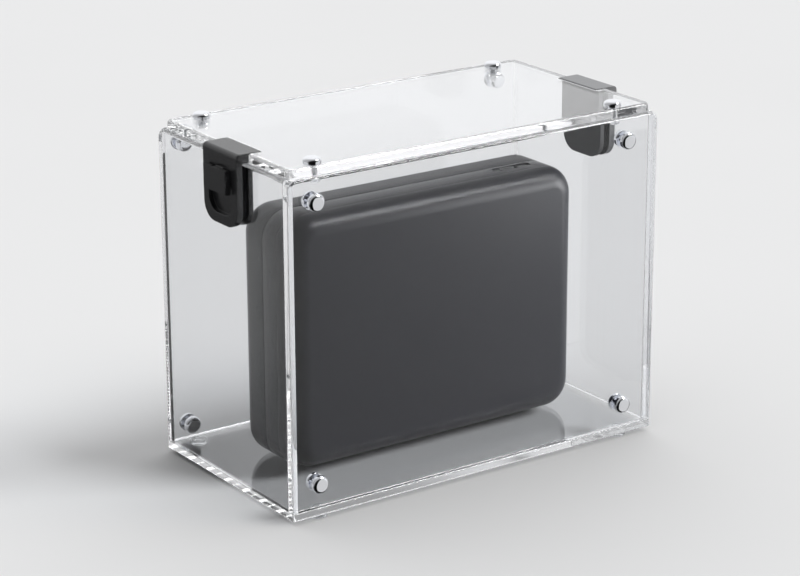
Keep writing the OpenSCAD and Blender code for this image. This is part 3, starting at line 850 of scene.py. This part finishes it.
def fixings(tree, chrome, steel, acrylic, vinyl):
    """Caps, studs, bosses and feet."""
    cap = cap_mesh()
    rows = (
        ("front_outer_caps", FORWARDS, 1, "box"),
        ("front_inner_caps", BACKWARDS, 1, "box"),
        ("back_outer_caps", BACKWARDS, 1, "box"),
        ("back_inner_caps", FORWARDS, 1, "box"),
        ("lid_caps", UPWARDS, 2, "lid"),
    )
    for node, turn, along, body in rows:
        obj = four_of(tree, "chrome_" + node, cap, chrome, node, CAP_R, turn, along, body)
    rows = (
        ("front_studs", FORWARDS, 1, "box"),
        ("back_studs", FORWARDS, 1, "box"),
        ("lid_studs", UPWARDS, 2, "lid"),
    )
    for node, turn, along, body in rows:
        low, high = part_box(node)
        stud = stud_mesh(high[along] - low[along])
        obj = four_of(tree, "steel_" + node, stud, steel, node, STUD_R, turn, along, body)
    low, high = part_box("lid_bosses")
    boss = boss_mesh(BOSS_R, high.z - low.z)
    obj = four_of(tree, "clear_lid_bosses", boss, acrylic, "lid_bosses", BOSS_R, UPWARDS, 2, "lid")
    low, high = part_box("feet")
    foot = foot_mesh(FOOT_R, high.z - low.z)
    obj = four_of(tree, "clear_feet", foot, vinyl, "feet", FOOT_R, UPWARDS, 2, "box")


# ---- clips ----
def clips(black, grey):
    """Both brackets and their paddles, with moulded edges."""
    for side, plastic, slot in (("left", black, "clip_plastic"), ("right", grey, "clip_grey")):
        body = copy_of(side + "_clip_body", side + "_bracket", plastic, even(CLIP_EDGE))
        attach(body, side + "_clip")
        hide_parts(side + "_clip_body")
        paddle = copy_of(side + "_clip_paddle", side + "_paddle", plastic, even(PADDLE_EDGE))
        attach(paddle, side + "_paddle")
        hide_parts(side + "_clip_paddle")


def latch(dark):
    """Sunken plate and ribbed button."""
    plate = copy_of("case_latch_plate", "latch_plate", dark, even(0.15 * MM), 2)
    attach(plate, "case_cover")
    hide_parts("case_latch_plate")
    button = copy_of("case_latch_slider", "latch_button", dark, even(0.12 * MM), 2)
    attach(button, "latch_button")
    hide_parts("case_latch_slider")


def finish_nodes(steel, rubber, screw):
    """Finishes for the CAD nodes that show as they are."""
    finishes = {
        "left_clip_linings": rubber, "right_clip_linings": rubber,
        "case_seal": rubber, "case_back_feet": rubber, "case_front_feet": rubber,
        "left_clip_pin": steel, "right_clip_pin": steel, "case_hinge_pins": steel,
        "case_back_leaves": steel, "case_front_leaves": steel, "case_latch_keeper": steel,
        "case_back_screws": screw, "case_front_screws": screw,
    }
    for node, material in finishes.items():
        data = frame["nodes"][node].data
        data.materials.clear()
        data.materials.append(material)


# ---- studio ----
def floor():
    """Wide pale floor."""
    mesh = bpy.data.meshes.new("floor")
    half = 9.0
    corners = [(-half, -half, 0), (half, -half, 0), (half, half, 0), (-half, half, 0)]
    mesh.from_pydata(corners, [], [(0, 1, 2, 3)])
    mat, tree, shader = new_material("pale_floor")
    shade = object_noise(tree, 3.0, 2.0)
    colour = tint(tree, shade, (0.79, 0.79, 0.79), (0.81, 0.81, 0.81))
    tree.links.new(colour, shader.inputs["Base Color"])
    shader.inputs["Roughness"].default_value = 0.75
    shader.inputs["Specular IOR Level"].default_value = 0.2
    obj = new_object("floor", mesh, mat)
    obj.visible_glossy = False


def surroundings():
    """Pale studio: brighter at the back, dark where the camera stands and below."""
    world = bpy.data.worlds.new("studio")
    bpy.context.scene.world = world
    world.use_nodes = True
    tree = world.node_tree
    background = tree.nodes["Background"]
    coords = add(tree, "ShaderNodeTexCoord")
    parts = []
    # direction, where the change starts and stops (cosines), brightness before and after
    for aim, start, stop, low, high in (
        ((0.511, 0.740, 0.438), 0.1, 0.98, 0.44, 1.05),
        ((-0.25, -0.93, -0.27), 0.10, 0.72, 1.0, 0.02),
        ((0.0, 0.0, -1.0), 0.05, 0.40, 1.0, 0.12),
    ):
        facing = add(tree, "ShaderNodeVectorMath", operation="DOT_PRODUCT")
        facing.inputs[1].default_value = aim
        tree.links.new(coords.outputs["Generated"], facing.inputs[0])
        ramp = add(tree, "ShaderNodeMapRange", interpolation_type="SMOOTHSTEP")
        ramp.inputs["From Min"].default_value = start
        ramp.inputs["From Max"].default_value = stop
        ramp.inputs["To Min"].default_value = low
        ramp.inputs["To Max"].default_value = high
        tree.links.new(facing.outputs["Value"], ramp.inputs["Value"])
        parts.append(ramp.outputs["Result"])
    product = parts[0]
    for part in parts[1:]:
        times = add(tree, "ShaderNodeMath", operation="MULTIPLY")
        tree.links.new(product, times.inputs[0])
        tree.links.new(part, times.inputs[1])
        product = times.outputs[0]
    tree.links.new(product, background.inputs["Strength"])
    background.inputs["Color"].default_value = (0.985, 0.99, 1.0, 1)


def lamps():
    """A soft key from the right, a side lamp for the case, a bright panel for the caps."""
    key = bpy.data.lights.new("key", "SUN")
    key.energy = 2.1
    key.angle = math.radians(24)
    side = bpy.data.lights.new("side", "AREA")
    side.energy = 14.0
    side.size = 0.34
    panel = bpy.data.lights.new("panel", "AREA")
    panel.energy = 2.6
    panel.size = 1.1
    for data, place, heading in (
        (key, (0, 0, 0), (-0.56, 0.48, -0.66)),
        (side, (0.58, -0.40, 0.22), (-0.66, 0.52, -0.16)),
        (panel, (0.50, -0.72, -0.20), (-0.546, 0.783, 0.30)),
    ):
        obj = bpy.data.objects.new(data.name, data)
        obj.rotation_mode = "QUATERNION"
        obj.rotation_quaternion = Vector(heading).to_track_quat("-Z", "Y")
        obj.location = place
        obj.visible_camera = False
        bpy.context.scene.collection.objects.link(obj)
    for name, word in (("side", "case_"), ("panel", "_caps")):
        lit = bpy.data.collections.new("lit_by_" + name)
        for obj in bpy.data.objects:
            if word in obj.name and obj.type == "MESH":
                lit.objects.link(obj)
        bpy.data.objects[name].light_linking.receiver_collection = lit


def camera():
    """Long lens from the front left, a little above."""
    azimuth = math.radians(34.65)
    elevation = math.radians(18.472)
    roll = math.radians(-0.237)
    data = bpy.data.cameras.new("camera")
    data.lens = 121.6
    data.sensor_width = 36.0
    data.clip_start = 0.05
    data.clip_end = 50.0
    obj = bpy.data.objects.new("camera", data)
    turn = Matrix.Rotation(-azimuth, 4, "Z") @ Matrix.Rotation(math.pi / 2 - elevation, 4, "X")
    turn = turn @ Matrix.Rotation(roll, 4, "Z")
    obj.matrix_world = Matrix.Translation((-1.026, -1.4714, 0.714)) @ turn
    bpy.context.scene.collection.objects.link(obj)
    bpy.context.scene.camera = obj


def colour_and_bounces():
    """Plain colours, and enough bounces for light inside the sheet."""
    scene = bpy.context.scene
    scene.view_settings.view_transform = "Standard"
    scene.cycles.max_bounces = GLASS_BOUNCES
    scene.cycles.transmission_bounces = GLASS_BOUNCES
    scene.cycles.transparent_max_bounces = CLEAR_BOUNCES
    scene.cycles.diffuse_bounces = 3
    scene.cycles.glossy_bounces = GLASS_BOUNCES
    scene.cycles.caustics_refractive = False
    scene.cycles.caustics_reflective = False


def main():
    """Builds the studio and every piece."""
    camera()
    colour_and_bounces()
    surroundings()
    floor()
    acrylic = clear_acrylic()
    vinyl = clear_vinyl()
    chrome = polished_chrome()
    steel = plated_steel()
    graphite = graphite_shell()
    clear_box(acrylic)
    fixings(rectangle_tree(), chrome, steel, acrylic, vinyl)
    clips(clip_black(), clip_grey())
    cash_case(graphite)
    latch(latch_dark())
    finish_nodes(steel, matt_rubber(), black_screw())
    lamps()


main()
